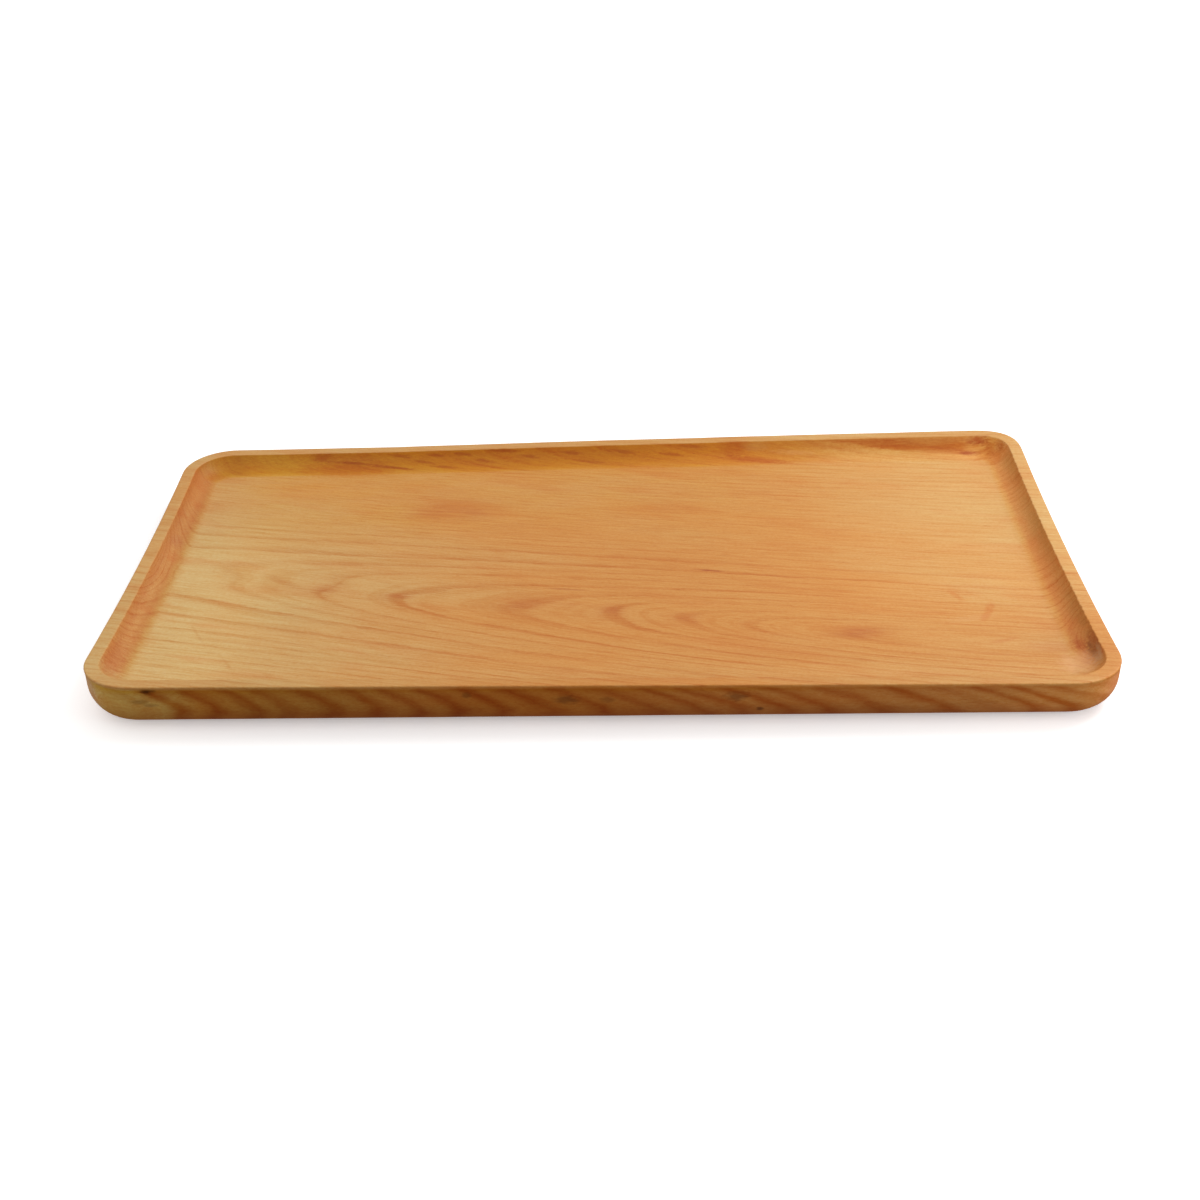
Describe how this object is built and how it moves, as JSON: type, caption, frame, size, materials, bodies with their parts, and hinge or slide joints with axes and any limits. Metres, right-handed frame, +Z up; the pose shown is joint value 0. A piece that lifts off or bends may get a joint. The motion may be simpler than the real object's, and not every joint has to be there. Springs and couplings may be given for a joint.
{
  "type": "serving tray",
  "caption": "Rectangular serving tray carved from one piece of wood, with rounded corners, a shallow coved well and a flat underside to rest on.",
  "frame": {"origin": "centre of the flat underside, on the surface that the tray rests on", "axes": "+X along the tray's length, +Y across its width away from the side that faces the user, +Z up out of the well"},
  "size_m": [0.4, 0.222, 0.02],
  "materials": {
    "oiled_ash": "clear oiled, satin"
  },
  "bodies": {
    "root": {"tray_body": "oiled_ash"}
  },
  "joints": []
}
